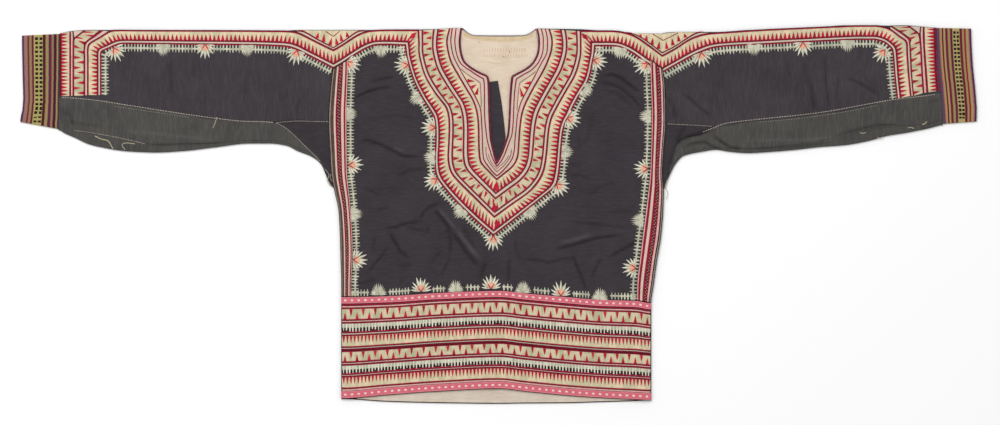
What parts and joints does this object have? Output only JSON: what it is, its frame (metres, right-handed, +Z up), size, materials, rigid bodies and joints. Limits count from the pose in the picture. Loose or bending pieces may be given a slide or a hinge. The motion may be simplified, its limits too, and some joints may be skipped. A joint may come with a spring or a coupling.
{
  "type": "embroidered top",
  "caption": "Long-sleeved pull-on cotton top laid flat, with a round neck and centre slit, deep embroidered hem band, embroidered yoke and sleeves, and striped woven cuffs.",
  "frame": {"origin": "middle of the garment's outline on the surface that it lies on", "axes": "+X from the wearer's right cuff to the left cuff, +Y from the hem to the neck, +Z up from the surface"},
  "size_m": [1.4352, 0.568, 0.0074],
  "materials": {
    "indigo_cotton": "matt plain weave",
    "strip_cotton": "matt plain weave",
    "lining": "matt plain weave",
    "embroidery": "silky stitches",
    "tape": "woven ribbon",
    "striped_weave": "warp-faced weave"
  },
  "bodies": {
    "root": {"back": "indigo_cotton", "front": "indigo_cotton", "neck_lining": "lining", "placket": "indigo_cotton", "hem_band_back": "embroidery", "hem_lining": "lining", "hem_band_front": "embroidery", "hem_tape_top": "tape", "hem_tape_bottom": "tape", "side_strip_left": "embroidery", "side_strip_right": "embroidery", "sleeve_left": "indigo_cotton", "underarm_strip_left": "strip_cotton", "armpit_piece_left": "indigo_cotton", "cuff_left": "striped_weave", "sleeve_right": "indigo_cotton", "underarm_strip_right": "strip_cotton", "armpit_piece_right": "indigo_cotton", "cuff_right": "striped_weave"}
  },
  "joints": []
}
